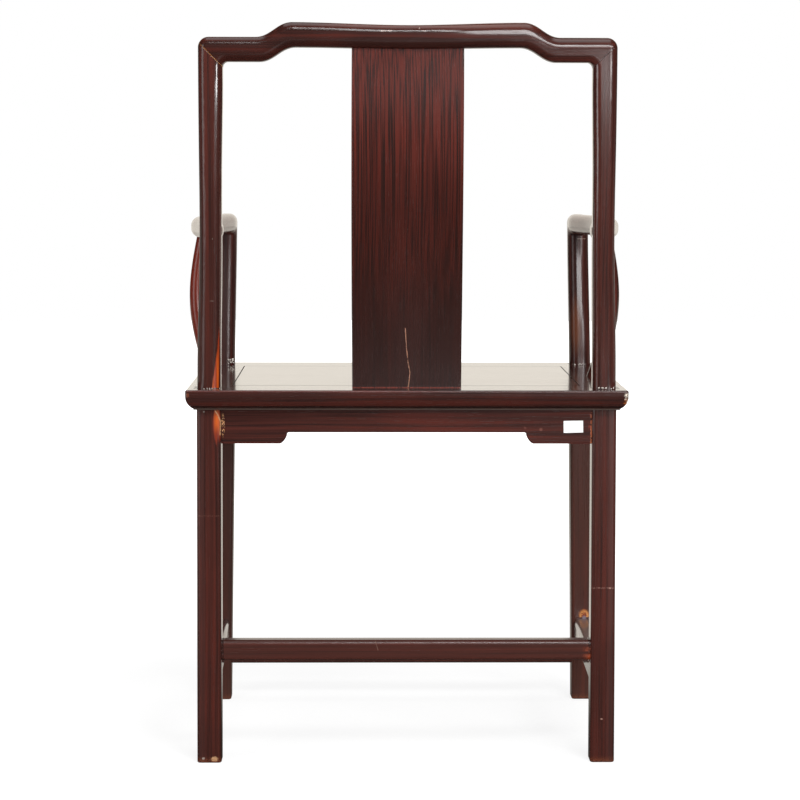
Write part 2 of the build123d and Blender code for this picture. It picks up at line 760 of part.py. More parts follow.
def apron_tongue(span, fit=0.0, gap=0.0):
    """The tongue along an apron's top, or its groove when grown by the fit."""
    half_x = span / 2 - tenon_end_gap + gap
    half_y = apron_tongue_thickness / 2 + fit
    high = frame_bottom + apron_tongue_height + gap
    return block(-half_x, half_x, -half_y, half_y, frame_bottom - fit, high)


def apron_end(span):
    """The housing that an apron's end needs in a leg, as wide as the board plus the fit."""
    half_y = apron_thickness / 2 + tenon_fit
    low = frame_bottom - apron_end_height - tenon_fit
    x0 = span / 2 - apron_housing
    x1 = span / 2 + apron_housing + tenon_end_gap
    return block(x0, x1, -half_y, half_y, low, frame_bottom)


def apron_tongue_grooves():
    """The grooves under the seat frame for the four aprons' tongues."""
    side = on_left_side * apron_tongue(side_span, tenon_fit, tenon_end_gap)
    return [
        Pos(0, apron_rear_y, 0) * apron_tongue(rear_span, tenon_fit, tenon_end_gap),
        Pos(0, apron_front_y, 0) * apron_tongue(front_span, tenon_fit, tenon_end_gap),
        side,
        mirror(side, about=Plane.YZ),
    ]


# --- Stretchers -----------------------------------------------------------------------------------------
def splayed(top_x, splay, height):
    """The middle of a leg at a height: every leg splays outwards to its foot."""
    return top_x + splay * (1 - height / frame_bottom)


def level_line(x, y, z):
    """A stretcher's middle line from the right leg to the left one."""
    return (-x, y, z), (x, y, z)


rear_stretcher_z = rear_stretcher_top - stretcher_height / 2
side_stretcher_z = side_stretcher_top - side_stretcher_height / 2
footrest_z = footrest_top - footrest_height / 2
rear_stretcher_x = splayed(rear_leg_x, rear_splay, rear_stretcher_z)
rear_stretcher_y = rear_leg_y + leg_size / 2 - rear_stretcher_set_back - stretcher_depth / 2
rear_stretcher_line = level_line(rear_stretcher_x, rear_stretcher_y, rear_stretcher_z)
side_stretcher_line = (
    (splayed(front_leg_x, front_splay, side_stretcher_z), front_leg_y, side_stretcher_z),
    (splayed(rear_leg_x, rear_splay, side_stretcher_z), rear_leg_y, side_stretcher_z),
)
footrest_line = level_line(splayed(front_leg_x, front_splay, footrest_z), front_leg_y, footrest_z)


def stretcher_core(line, fit=0.0, gap=0.0):
    """The tenons at both ends of a stretcher as one bar, or their mortises when grown by the fit."""
    longer = stretcher_tenon_length - leg_size / 2 + gap
    width = stretcher_tenon_thickness + 2 * fit
    height = stretcher_tenon_height + 2 * fit
    return bar_between(*line, width, height, 1.0, longer)


def stretcher(line, depth, height, legs):
    """A stretcher shouldered against two legs, with a tenon at each end."""
    body = bar_between(*line, depth, height, stretcher_round)
    for leg in legs:
        body -= leg
    return body.solid() + stretcher_core(line)


# --- Legs -----------------------------------------------------------------------------------------------
def lower_leg(x, y, splay):
    """A leg below the seat frame, splayed outwards to its foot, with a softened foot."""
    leg = leaning_stock(x + splay, y, leg_size, leg_round, 0, frame_bottom, -splay)
    return fillet(leg.faces().sort_by(Axis.Z)[0].edges(), foot_round)


def cut_all(solid, cuts):
    for cut in cuts:
        solid -= cut
    return solid.solid()


def build():
    """Every piece of the chair, by node name."""
    back = back_half()
    back_post = split(back, bisect_by=crest_mitre, keep=Keep.BOTTOM)
    rear_leg = (lower_leg(rear_leg_x, rear_leg_y, rear_splay) + back_post).solid()
    front_leg = (lower_leg(front_leg_x, front_leg_y, front_splay) + arm_post_blank()).solid()
    crest_half = split(back, bisect_by=crest_mitre, keep=Keep.TOP).solid()
    crest_blank = (crest_half + mirror(crest_half, about=Plane.YZ)).solid()

    fit = (tenon_fit, tenon_end_gap)
    rear_cuts = [
        Pos(0, apron_rear_y, 0) * apron_end(rear_span),
        on_left_side * apron_end(side_span),
        stretcher_core(rear_stretcher_line, *fit),
        stretcher_core(side_stretcher_line, *fit),
        arm_rear_tenon(*fit),
        crest_peg(peg_fit),
    ]
    front_cuts = [
        Pos(0, apron_front_y, 0) * apron_end(front_span),
        on_left_side * Rot(0, 0, 180) * apron_end(side_span),
        stretcher_core(footrest_line, *fit),
        stretcher_core(side_stretcher_line, *fit),
        arm_peg(peg_fit),
    ]
    rear_leg_done = cut_all(rear_leg + crest_tenon(), rear_cuts)
    front_leg_done = cut_all(front_leg + arm_front_tenon(), front_cuts)

    arm = (arm_blank() - rear_leg).solid() + arm_rear_tenon()
    arm_cuts = [arm_front_tenon(*fit), arm_peg(peg_fit), strut_tenons(*fit)]

    left_crest_cuts = [crest_tenon(*fit), crest_peg(peg_fit)]
    right_crest_cuts = [mirror(cut, about=Plane.YZ) for cut in left_crest_cuts]
    splat_foot, splat_head = splat_tongues()
    splat = (splat_blank() - crest_blank).solid() + splat_foot + splat_head
    crest = cut_all(crest_blank, left_crest_cuts + right_crest_cuts + [splat_tongues(*fit)[1]])

    right_rear_leg = mirror(rear_leg, about=Plane.YZ)
    right_front_leg = mirror(front_leg, about=Plane.YZ)
    rear_legs = (rear_leg, right_rear_leg)
    front_legs = (front_leg, right_front_leg)
    side_legs = (rear_leg, front_leg)
    side_stretcher = stretcher(side_stretcher_line, stretcher_depth, side_stretcher_height, side_legs)
    pegs = {
        "crest_pegs": [crest_peg()],
        "arm_pegs": [arm_peg()],
        "seat_frame_pegs": [rail_peg(rear_tenon_y), rail_peg(front_tenon_y)],
    }
    pieces = {
        **both_sides("rear_leg", rear_leg_done),
        **both_sides("front_leg", front_leg_done),
        "crest_rail": crest,
        "back_splat": splat,
        **both_sides("arm", cut_all(arm, arm_cuts)),
        **both_sides("arm_strut", arm_strut()),
        **seat_rails(seat_frame()),
        "seat_panel": seat_panel(),
        "seat_batten_left": seat_batten(1),
        "seat_batten_right": seat_batten(-1),
        "apron_rear": Pos(0, apron_rear_y, 0) * apron(rear_span),
        "apron_front": Pos(0, apron_front_y, 0) * apron(front_span),
        **both_sides("apron", on_left_side * apron(side_span)),
        "stretcher_rear": stretcher(rear_stretcher_line, stretcher_depth, stretcher_height, rear_legs),
        **both_sides("stretcher", side_stretcher),
        "footrest_rail": stretcher(footrest_line, footrest_depth, footrest_height, front_legs),
    }
    for name, left_pegs in pegs.items():
        right_pegs = [mirror(peg, about=Plane.YZ) for peg in left_pegs]
        pieces[name] = Compound([peg.solid() for peg in left_pegs + right_pegs])
    return pieces


pieces = build()
extent = Compound(list(pieces.values())).bounding_box()
to_origin = Pos(-extent.center().X, -extent.center().Y, 0)
for name, piece in pieces.items():
    export_step(to_origin * piece, "parts/" + name + ".step")
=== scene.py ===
import math

import bpy
from mathutils import Matrix, Vector


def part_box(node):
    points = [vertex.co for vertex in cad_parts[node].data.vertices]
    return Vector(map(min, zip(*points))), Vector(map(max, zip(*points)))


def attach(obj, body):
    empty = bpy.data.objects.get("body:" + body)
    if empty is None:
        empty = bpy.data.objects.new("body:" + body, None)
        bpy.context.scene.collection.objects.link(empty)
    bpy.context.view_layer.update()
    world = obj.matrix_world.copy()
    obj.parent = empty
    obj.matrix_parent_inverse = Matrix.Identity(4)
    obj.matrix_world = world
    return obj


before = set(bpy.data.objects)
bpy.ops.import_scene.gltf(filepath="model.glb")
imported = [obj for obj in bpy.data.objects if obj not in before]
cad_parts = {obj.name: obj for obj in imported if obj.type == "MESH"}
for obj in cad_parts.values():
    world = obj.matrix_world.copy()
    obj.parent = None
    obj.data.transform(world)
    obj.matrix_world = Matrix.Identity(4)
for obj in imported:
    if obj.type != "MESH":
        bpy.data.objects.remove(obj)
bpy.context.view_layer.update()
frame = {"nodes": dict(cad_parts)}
nodes = frame["nodes"]


# --- Rear legs and back posts -------------------------------------------------------------------
# One long piece of dark hardwood on each side, from the floor to the crest, which passes through
# the seat's corner. It is stained deep red-brown, lacquered and rubbed, and the lacquer is worn
# off to orange wood where hands and cloths rub it.


class Socket:
    """An output of a shader node, with the arithmetic that the finishes are written in."""

    def __init__(self, nodes, output):
        self.nodes = nodes
        self.output = output

    def math(self, operation, *values):
        return self.nodes.math(operation, *values)

    def __add__(self, other):
        return self.math("ADD", self, other)

    def __radd__(self, other):
        return self.math("ADD", other, self)

    def __sub__(self, other):
        return self.math("SUBTRACT", self, other)

    def __rsub__(self, other):
        return self.math("SUBTRACT", other, self)

    def __mul__(self, other):
        return self.math("MULTIPLY", self, other)

    def __rmul__(self, other):
        return self.math("MULTIPLY", other, self)

    def __abs__(self):
        return self.math("ABSOLUTE", self)

    def over(self, low, high):
        """0 below low and 1 above high, with a soft step between, or the reverse if low is higher."""
        settings = {"interpolation_type": "SMOOTHSTEP"}
        return self.nodes.node("ShaderNodeMapRange", settings, {0: self, 1: low, 2: high})


class Nodes:
    """A tree of shader nodes that is written as expressions."""

    def __init__(self, tree):
        self.tree = tree
        tree.nodes.clear()

    def node(self, kind, settings=(), sockets=(), output=0):
        """Adds a node: its settings first, then the values or links of its sockets."""
        made = self.tree.nodes.new(kind)
        for key, value in dict(settings).items():
            setattr(made, key, value)
        for key, value in dict(sockets).items():
            if isinstance(value, Socket):
                self.tree.links.new(value.output, made.inputs[key])
            else:
                made.inputs[key].default_value = value
        return Socket(self, made.outputs[output]) if made.outputs else None

    def math(self, operation, *values):
        return self.node("ShaderNodeMath", {"operation": operation}, dict(enumerate(values)))

    def parts_of(self, vector):
        """The x, y and z of a vector."""
        split = self.node("ShaderNodeSeparateXYZ", sockets={0: vector}).output.node
        return [Socket(self, part) for part in split.outputs]

    def vector(self, operation, *values, output=0):
        return self.node("ShaderNodeVectorMath", {"operation": operation}, dict(enumerate(values)), output)

    def scaled(self, vector, share):
        return self.node("ShaderNodeVectorMath", {"operation": "SCALE"}, {0: vector, "Scale": share})

    def length(self, vector):
        return self.vector("LENGTH", vector, output="Value")

    def noise(self, place, scale, detail=2.0, output=0):
        sockets = {"Vector": place, "Scale": scale, "Detail": detail}
        return self.node("ShaderNodeTexNoise", sockets=sockets, output=output)

    def mix(self, share, first, second):
        """The first colour where the share is 0 and the second where it is 1."""
        first, second = [(*c, 1.0) if isinstance(c, tuple) else c for c in (first, second)]
        sockets = {0: share, 6: first, 7: second}
        return self.node("ShaderNodeMix", {"data_type": "RGBA"}, sockets, output=2)


class Finish(Nodes):
    """A surface finish: marks are laid over its colour, roughness, coat and relief in turn."""

    def __init__(self, name):
        self.material = bpy.data.materials.new(name)
        self.material.use_nodes = True
        super().__init__(self.material.node_tree)
        self.place = self.node("ShaderNodeTexCoord", output="Object")
        self.x, self.y, self.z = self.parts_of(self.place)

    def mark(self, mask, colour=None, roughness=None, coat=None, relief=None):
        """Lays a patch over the finish where the mask is 1; relief is a height in metres."""
        if colour is not None:
            self.colour = self.mix(mask, self.colour, colour)
        if roughness is not None:
            self.roughness = self.roughness + mask * (roughness - self.roughness)
        if coat is not None:
            self.coat = self.coat + mask * (coat - self.coat)
        if relief is not None:
            self.relief = self.relief + mask * relief

    def patch(self, centre, size, ragged=0.0, grit=None, soft=0.35):
        """A soft-edged oval region in the chair's own frame, its outline broken by a noise."""
        share = self.vector("DIVIDE", self.vector("SUBTRACT", self.place, centre), size)
        reach = self.length(share)
        if ragged:
            reach = reach + ((grit or self.grit) - 0.5) * ragged
        return reach.over(1.0 + soft, 1.0 - soft)

    def stroke(self, start, end, half_width, ragged=0.0, depth_share=0.15):
        """A scratch or seam between two points, which counts its distance across the surface."""
        flat = Vector((1.0, depth_share, 1.0))
        first = Vector(start) * flat
        run = Vector(end) * flat - first
        from_start = self.vector("SUBTRACT", self.vector("MULTIPLY", self.place, flat), first)
        share = self.vector("DOT_PRODUCT", from_start, run / run.length_squared, output="Value")
        share = self.node("ShaderNodeClamp", sockets={0: share})
        gap = self.length(self.vector("SUBTRACT", from_start, self.scaled(run, share)))
        if ragged:
            gap = gap + (self.grit - 0.5) * (ragged * half_width)
        return gap.over(half_width * 1.3, half_width * 0.6)

    def broken_line(self, points, face_y, half_width, ragged):
        """The strokes that join points on an upright face, each point given by its x and z."""
        places = [(x, face_y, z) for x, z in points]
        return [self.stroke(*ends, half_width, ragged) for ends in zip(places, places[1:])]

    def apply(self, *pieces):
        """Closes the finish with its shader, and makes it the only material of the pieces."""
        bump = self.node("ShaderNodeBump", sockets={"Height": self.relief, "Distance": 1.0, "Strength": 1.0})
        sockets = {
            "Base Color": self.colour,
            "Roughness": self.roughness,
            "Coat Weight": self.coat,
            "Coat Roughness": self.coat_roughness,
            "Normal": bump,
        }
        shader = self.node("ShaderNodeBsdfPrincipled", sockets=sockets)
        self.node("ShaderNodeOutputMaterial", sockets={"Surface": shader})
        for piece in pieces:
            piece.data.materials.clear()
            piece.data.materials.append(self.material)


class Hardwood(Finish):
    """Dark straight-grained hardwood under rubbed lacquer: fine streaks, bands and open pores.

    Where a piece is bent, its grain bends with it: bends are (back, low, high), the way back to
    straight for a piece that swings over between two heights.
    """

    dark = (0.030, 0.0098, 0.0078)
    light = (0.080, 0.0180, 0.0125)
    red = (0.125, 0.0165, 0.0085)
    ink = (0.016, 0.0072, 0.0062)
    bare = (0.46, 0.065, 0.008)
    pale = (0.50, 0.28, 0.14)
    scuffed = (0.20, 0.055, 0.020)
    joint_black = (0.004, 0.002, 0.0015)
    coat_roughness = 0.10
    figure_shares = {"streaks": 0.40, "bands": 0.12, "clouds": 0.12, "fine": 0.36}
    vein_share, pore_share = 0.25, 0.3
    wave_height, streak_height, pore_depth = 0.00035, 0.000006, 0.000004
    step_to_next_board = (0.37, 0.61, 0.83)
    swing_width = 0.008

    def __init__(self, name, grain, seed, redness=0.35, contrast=0.20, ripple=1.0, bends=()):
        super().__init__(name)
        place = self.vector("ADD", self.place, [step * seed for step in self.step_to_next_board])
        for back, low, high in bends:
            place = self.vector("ADD", place, self.scaled(back, self.z.over(low, high)))
        swing = self.noise(place, 2.6, 0.0, output="Color")
        place = self.vector("MULTIPLY_ADD", swing, [self.swing_width] * 3, place)
        self.fine = self.layer(place, grain, along=0.006, scale=560.0)
        self.streaks = self.layer(place, grain, along=0.006, scale=190.0, detail=2.0)
        self.bands = self.layer(place, grain, along=0.03, scale=55.0)
        self.clouds = self.layer(place, grain, along=0.4, scale=16.0, detail=2.0)
        pores = self.layer(place, grain, along=0.03, scale=1300.0).over(0.60, 0.68)
        waves = self.layer(place, grain, along=0.3, scale=34.0)
        self.grit = self.noise(self.place, 700.0, 2.0)

        figure = sum(getattr(self, layer) * share for layer, share in self.figure_shares.items())
        self.colour = self.mix(figure.over(0.5 - contrast, 0.5 + contrast), self.dark, self.light)
        glow = (self.clouds * 0.6 + self.streaks * 0.4).over(0.48, 0.62)
        self.colour = self.mix(glow * redness, self.colour, self.red)
        veins = (self.streaks * 0.5 + self.fine * 0.5).over(0.44, 0.37)
        self.colour = self.mix(veins * self.vein_share, self.colour, self.ink)
        self.colour = self.mix(pores * self.pore_share, self.colour, self.ink)
        self.roughness = 0.16 + self.clouds * 0.10 + self.fine * 0.04 + pores * 0.05
        self.coat = self.clouds * 0.2
        raised = waves * self.wave_height + self.streaks * self.streak_height
        self.relief = (raised - pores * self.pore_depth) * ripple

    def layer(self, place, grain, along, scale, detail=1.0):
        """A noise drawn out along the grain, by shortening the place's measure that way."""
        stretch = [along if axis == grain else 1.0 for axis in range(3)]
        return self.noise(self.vector("MULTIPLY", place, stretch), scale, detail)

    def worn_through(self, mask, colour, share=1.0):
        """Lacquer rubbed off down to the bare wood: matt, and a hair lower."""
        self.mark(mask * share, colour=colour, roughness=0.35, coat=0.05, relief=-0.00008)

    def seam(self, mask, share=0.8):
        """A dark joint line."""
        self.mark(mask * share, colour=self.joint_black, coat=0.2, relief=-0.0002)

    def scuff_foot(self):
        """Lacquer knocked off the bottom edges of a leg."""
        scuff = self.z.over(0.011, 0.0005) * self.grit.over(0.35, 0.62)
        self.worn_through(scuff, self.scuffed, 0.7)


ACROSS, FORE_AND_AFT, UPRIGHT = range(3)
seat_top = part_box("seat_rail_rear")[1].z
post_rear_y = 0.2012  # the rear face of the back posts, just above the seat
post_bend_start, post_top = seat_top + 0.012, 0.942
post_rake = 0.028
mitre_rise = 0.6923  # along the crest's mitres, z less |x| is this
rake = ((0, -post_rake, 0), post_bend_start, post_top)
mark_depth = 0.006
nick_y, nick_depth = 0.205, 0.012

left_leg = Hardwood("rear_leg_left_wood", UPRIGHT, 1, redness=0.3, bends=[rake])

# A wedge up the post's inner edge is rubbed to dark red wood, and its lower part to orange.
rubbed_red, rubbed_orange = (0.24, 0.022, 0.002), (0.50, 0.078, 0.002)
wedge_tip, wedge_taper = 0.612, 0.088
wedge_edge = 0.2500 + (0.602 - left_leg.z) * 0.020
wedge_width = (wedge_tip - left_leg.z) * wedge_taper + (left_leg.streaks - 0.5) * 0.006
wedge = (wedge_width + wedge_edge - left_leg.x).over(0.0, 0.0014)
wedge = wedge * (left_leg.x - wedge_edge).over(-0.0006, 0.0006)
wedge = wedge * left_leg.z.over(seat_top + 0.0005, seat_top + 0.0015)
left_leg.worn_through(wedge * left_leg.z.over(0.606, 0.570), rubbed_red)
orange_part = left_leg.z.over(0.580, 0.530) * left_leg.fine.over(0.36, 0.50)
left_leg.worn_through(wedge * orange_part, rubbed_orange, 0.85)

# Under the seat the same edge is knocked to orange wood inside a red rim, and torn along a line.
rim_red, knock_orange = (0.19, 0.018, 0.002), (0.52, 0.085, 0.002)
rim_size, knock_size = (0.0042, mark_depth, 0.0175), (0.0030, mark_depth, 0.0130)
rim = left_leg.patch((0.2557, post_rear_y, 0.4615), rim_size, 2.4, left_leg.streaks)
left_leg.worn_through(rim, rim_red)
knock = left_leg.patch((0.2540, post_rear_y, 0.4680), knock_size, 2.0, left_leg.fine, soft=0.7)
left_leg.worn_through(knock, knock_orange)
torn_points = ((0.2560, 0.4800), (0.2525, 0.4745), (0.2494, 0.4660), (0.2500, 0.4480))
for torn in left_leg.broken_line(torn_points, post_rear_y, 0.0008, ragged=1.8):
    left_leg.worn_through(torn * left_leg.grit.over(0.36, 0.48), left_leg.pale)

# Three nicks, a short dash, a chip at the foot and the faint ring that a tie has left.
nick_grey, dash_grey, ring_brown = (0.30, 0.25, 0.22), (0.34, 0.27, 0.24), (0.20, 0.09, 0.07)
for x, z, radius in ((0.2715, 0.4791, 0.0011), (0.2579, 0.7100, 0.0006), (0.2747, 0.0062, 0.0018)):
    nick = left_leg.patch((x, nick_y, z), (radius, nick_depth, radius), 0.5)
    left_leg.mark(nick, nick_grey, coat=0.0)
dash = left_leg.patch((0.2595, post_rear_y, 0.6275), (0.0035, mark_depth, 0.0006), 0.8)
left_leg.mark(dash * 0.35, dash_grey)
chip = left_leg.patch((0.2597, post_rear_y, 0.0055), (0.0042, mark_depth, 0.0032), 1.2)
left_leg.worn_through(chip, left_leg.pale)
ring_height = 0.3385
ring = abs(left_leg.z - ring_height).over(0.0011, 0.0004) * left_leg.grit.over(0.40, 0.60)
left_leg.mark(ring * 0.35, ring_brown)

# The right leg has a like ring lower down, and two wide nicks.
right_leg = Hardwood("rear_leg_right_wood", UPRIGHT, 2, redness=0.12, bends=[rake])
nick_brown, ring_brown = (0.34, 0.19, 0.15), (0.32, 0.17, 0.14)
ring_height = 0.2403
ring = abs(right_leg.z - ring_height).over(0.0014, 0.0004) * right_leg.grit.over(0.44, 0.62)
right_leg.mark(ring * 0.55, ring_brown)
for x, z, radius in ((-0.2654, 0.0602, 0.0009), (-0.2748, 0.2402, 0.0009)):
    nick = right_leg.patch((x, nick_y, z), (radius * 2, nick_depth, radius), 0.6)
    right_leg.mark(nick, nick_brown)

# Above the seat each post is rounded off a little more on its outer side, where hands have dulled
# it. Its inner face, which nobody touches, has kept its gloss.
outer_start, outer_curve = 0.2690, 24.0
inner_face_x = 0.2506
for side, leg in (("left", left_leg), ("right", right_leg)):
    above_seat = leg.z.over(seat_top - 0.005, seat_top + 0.010)
    outer = leg.math("MAXIMUM", abs(leg.x) - outer_start, 0.0) * above_seat
    leg.relief = leg.relief - outer * outer * outer_curve
    leg.roughness = leg.roughness + abs(leg.x).over(0.268, 0.276) * 0.12
    leg.coat = leg.clouds * 0.1 + abs(leg.x).over(inner_face_x + 0.0009, inner_face_x) * 0.85
    leg.scuff_foot()
    leg.seam((leg.z - abs(leg.x)).over(mitre_rise - 0.0007, mitre_rise - 0.0002), 0.7)
    leg.apply(nodes[f"rear_leg_{side}"])


# --- Rear stretcher -----------------------------------------------------------------------------
# A plain rounded bar tenoned high between the rear legs. Its shoulders show as broken dark lines,
# and the right one is rubbed down to orange wood.
bar = Hardwood("stretcher_rear_wood", ACROSS, 3, redness=0.2)
sun_faded, rubbed_brown, scratch_grey = (0.075, 0.028, 0.022), (0.20, 0.036, 0.012), (0.22, 0.13, 0.10)
bar.colour = bar.mix(0.35, bar.colour, sun_faded)
face_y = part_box("stretcher_rear")[1].y
worn = bar.patch((-0.2462, face_y, 0.1495), (0.0050, 0.008, 0.0085), 1.8, soft=0.8)
bar.worn_through(worn * bar.streaks.over(0.36, 0.54), rubbed_brown, 0.9)
worn = bar.patch((-0.2485, face_y, 0.1455), (0.0018, 0.008, 0.0050), 2.2)
bar.worn_through(worn, bar.bare)
scratch = bar.stroke((0.0423, face_y, 0.1683), (0.0382, face_y, 0.1549), 0.0005, ragged=1.0)
bar.mark(scratch * 0.5, scratch_grey, coat=0.0)
shoulder_x = 0.2472
shoulder = abs(bar.x).over(shoulder_x - 0.0008, shoulder_x)
bar.seam(shoulder * bar.grit.over(0.3, 0.5), 0.6)
bar.apply(nodes["stretcher_rear"])


# --- Rear apron ---------------------------------------------------------------------------------
# A thin board under the seat with dropped, stepped ends, tongued into the frame and housed in the
# legs. Two small wooden plugs show as lighter dots, and splinters stand at the left housing.
board = Hardwood("apron_rear_wood", ACROSS, 4, redness=0.4)
apron_low, apron_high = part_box("apron_rear")
apron_face = apron_high.y
plug_brown, splinter_pale = (0.17, 0.060, 0.045), (0.62, 0.30, 0.12)
plugs = (((-0.1803, 0.4549), 0.0021, 1.0), ((-0.1588, 0.4569), 0.0017, 0.5))
for (x, z), radius, share in plugs:
    plug = board.patch((x, apron_face, z), (radius, 0.004, radius), 0.3)
    board.mark(plug * share * 0.75, plug_brown, coat=0.3)
splinters = board.patch((0.2466, apron_face, 0.461), (0.0024, mark_depth, 0.014))
board.worn_through(splinters * board.grit.over(0.52, 0.57), splinter_pale)

# At the right housing the lacquer is torn in lumps, with a red halo beside the tear. The board's
# lower edge is rubbed.
torn_orange, halo_red, edge_red = (0.50, 0.13, 0.035), (0.24, 0.030, 0.016), (0.17, 0.030, 0.020)
lumps = board.noise(board.place, 260.0, 2.0)
torn = board.stroke((-0.2476, apron_face, 0.477), (-0.2480, apron_face, 0.437), 0.0009, ragged=2.0)
board.worn_through(torn * lumps.over(0.40, 0.50), torn_orange)
halo = board.stroke((-0.2462, apron_face, 0.475), (-0.2462, apron_face, 0.445), 0.0022, ragged=1.5)
board.mark(halo * lumps.over(0.45, 0.60) * 0.5, halo_red)
lower_edge = board.z.over(apron_low.z + 0.0024, apron_low.z + 0.0004)
board.mark(lower_edge * 0.5, edge_red)
board.apply(nodes["apron_rear"])


# --- Paper label --------------------------------------------------------------------------------
# A blank white paper sticker on the rear apron, stuck on by hand and so a little crooked, with one
# corner just lifting.
label_centre = Vector((-0.2238, apron_face, 0.4587))
label_width, label_height, paper_thickness = 0.0262, 0.0162, 0.00012
label_gap = 0.00005
label_tilt = math.radians(-1.2)
curl_start, corner_curl = 1.55, 0.0035
columns, rows = 12, 8
label_mesh = bpy.data.meshes.new("label")
points = []
for row in range(rows + 1):
    for column in range(columns + 1):
        across = (column / columns - 0.5) * label_width
        up_label = (row / rows - 0.5) * label_height
        curl = max(0.0, column / columns + row / rows - curl_start) ** 2 * corner_curl
        x = -across * math.cos(label_tilt) - up_label * math.sin(label_tilt)
        z = -across * math.sin(label_tilt) + up_label * math.cos(label_tilt)
        points.append(label_centre + Vector((x, label_gap + curl, z)))
faces = []
for row in range(rows):
    for column in range(columns):
        first = row * (columns + 1) + column
        faces.append((first, first + 1, first + columns + 2, first + columns + 1))
label_mesh.from_pydata(points, [], faces)
label = bpy.data.objects.new("paper_label", label_mesh)
bpy.context.scene.collection.objects.link(label)
thickness = label.modifiers.new("thickness", "SOLIDIFY")
thickness.thickness = paper_thickness
thickness.offset = 1.0
paper = Finish("label_paper")
fibres = paper.noise(paper.place, 2600.0, 3.0)
stain = paper.noise(paper.place, 120.0, 2.0)
paper_white, paper_aged = (0.90, 0.90, 0.90), (0.80, 0.78, 0.73)
paper.colour = paper.mix(stain.over(0.45, 0.75) * 0.5, paper_white, paper_aged)
paper.roughness = 0.75 + fibres * 0.1
paper.coat = 0.0
paper.coat_roughness = 0.3
paper.relief = fibres * 0.00002
paper.apply(label)
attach(label, "root")


# --- Front legs and arm posts -------------------------------------------------------------------
# One piece each from the floor through the seat's corner, round above it, with a goose neck that
# swings forwards to the arm. The right one is chipped in an arch over its side stretcher.
neck_swing = ((0, 0.015, 0), post_bend_start, 0.691)
underseat_painted_light = (0.090, 0.034, 0.022)
front_legs = {}
for seed, side, dulled in ((5, "left", 0.10), (6, "right", 0.05)):
    leg = Hardwood(f"front_leg_{side}_wood", UPRIGHT, seed, redness=0.3, bends=[neck_swing])
    leg.coat = leg.clouds * 0.05
    leg.roughness = leg.roughness + dulled
    # Below the seat the leg is mixed toward a paler brown. This is painted light that lifts the part the seat
    # shades.
    under_seat = leg.z.over(seat_top - 0.010, seat_top - 0.020)
    leg.colour = leg.mix(under_seat * 0.4, leg.colour, underseat_painted_light)
    leg.scuff_foot()
    front_legs[side] = leg

# The chip is an orange arch with a pale rim and a dark hollow, and a grey nub stands under it.
leg = front_legs["right"]
arch_orange, arch_rim, hollow_dark = (0.44, 0.085, 0.006), (0.75, 0.36, 0.10), (0.16, 0.022, 0.008)
nub_grey = (0.19, 0.15, 0.18)
arch_middle = (-0.2765, -0.1780, 0.1285)
chip_depth = 0.012
arch = leg.patch(arch_middle, (0.0074, chip_depth, 0.0090), 1.3)
hollow = leg.patch(arch_middle, (0.0040, chip_depth, 0.0056), 1.5)
above = (leg.z + leg.grit * 0.004).over(0.1275, 0.1300)
leg.worn_through(arch * above, arch_orange)
leg.worn_through(arch * (1 - hollow) * above * leg.grit.over(0.40, 0.52), arch_rim)
leg.worn_through(hollow * above * leg.grit.over(0.60, 0.50), hollow_dark)
nub = leg.patch((-0.2765, -0.1780, 0.1250), (0.0030, chip_depth, 0.0036), 0.9)
leg.mark(nub, nub_grey, roughness=0.5, coat=0.2)

# The rear face of its neck is planed a little out of true and rubbed, and the joint under the arm
# is a ragged dark line with a few light fibres.
neck_brown, fibre_pale = (0.16, 0.044, 0.014), (0.42, 0.32, 0.25)
neck_middle_x, neck_half_width, neck_tilt = -0.2695, 0.0085, 0.09
planed = leg.math("MINIMUM", leg.x - neck_middle_x, neck_half_width)
planed = leg.math("MAXIMUM", planed, -neck_half_width)
neck = leg.z.over(0.560, 0.602) * leg.z.over(0.690, 0.655)
leg.relief = leg.relief + planed * neck_tilt * neck
rub = leg.patch((-0.2600, -0.1790, 0.570), (0.0065, 0.02, 0.026), 2.2, leg.streaks, soft=0.9)
leg.worn_through(rub, neck_brown, 0.75)
arm_joint_z = 0.7055
joint = abs(leg.z - arm_joint_z + (leg.grit - 0.5) * 0.006).over(0.0016, 0.0006)
leg.seam(joint * leg.y.over(-0.203, -0.199))
fibres = leg.stroke((-0.262, -0.197, 0.6985), (-0.274, -0.197, 0.6985), 0.0006, ragged=2.0)
leg.mark(fibres * 0.6, fibre_pale)

for side, leg in front_legs.items():
    leg.apply(nodes[f"front_leg_{side}"])


# --- Front apron and footrest rail --------------------------------------------------------------
# The front apron is the twin of the rear one. The footrest rail is the lowest and widest rail, its
# top rubbed pale and matt by shoes along the middle.
board = Hardwood("apron_front_wood", ACROSS, 7, redness=0.45)
board.apply(nodes["apron_front"])

rail = Hardwood("footrest_wood", ACROSS, 8, redness=0.5)
shoe_worn = (0.16, 0.050, 0.022)
rail_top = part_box("footrest_rail")[1].z
tread = rail.z.over(rail_top - 0.006, rail_top - 0.001) * abs(rail.x).over(0.22, 0.10)
tread = tread * (rail.streaks * 0.6 + rail.clouds * 0.4).over(0.42, 0.58)
rail.worn_through(tread, shoe_worn, 0.75)
rail.apply(nodes["footrest_rail"])


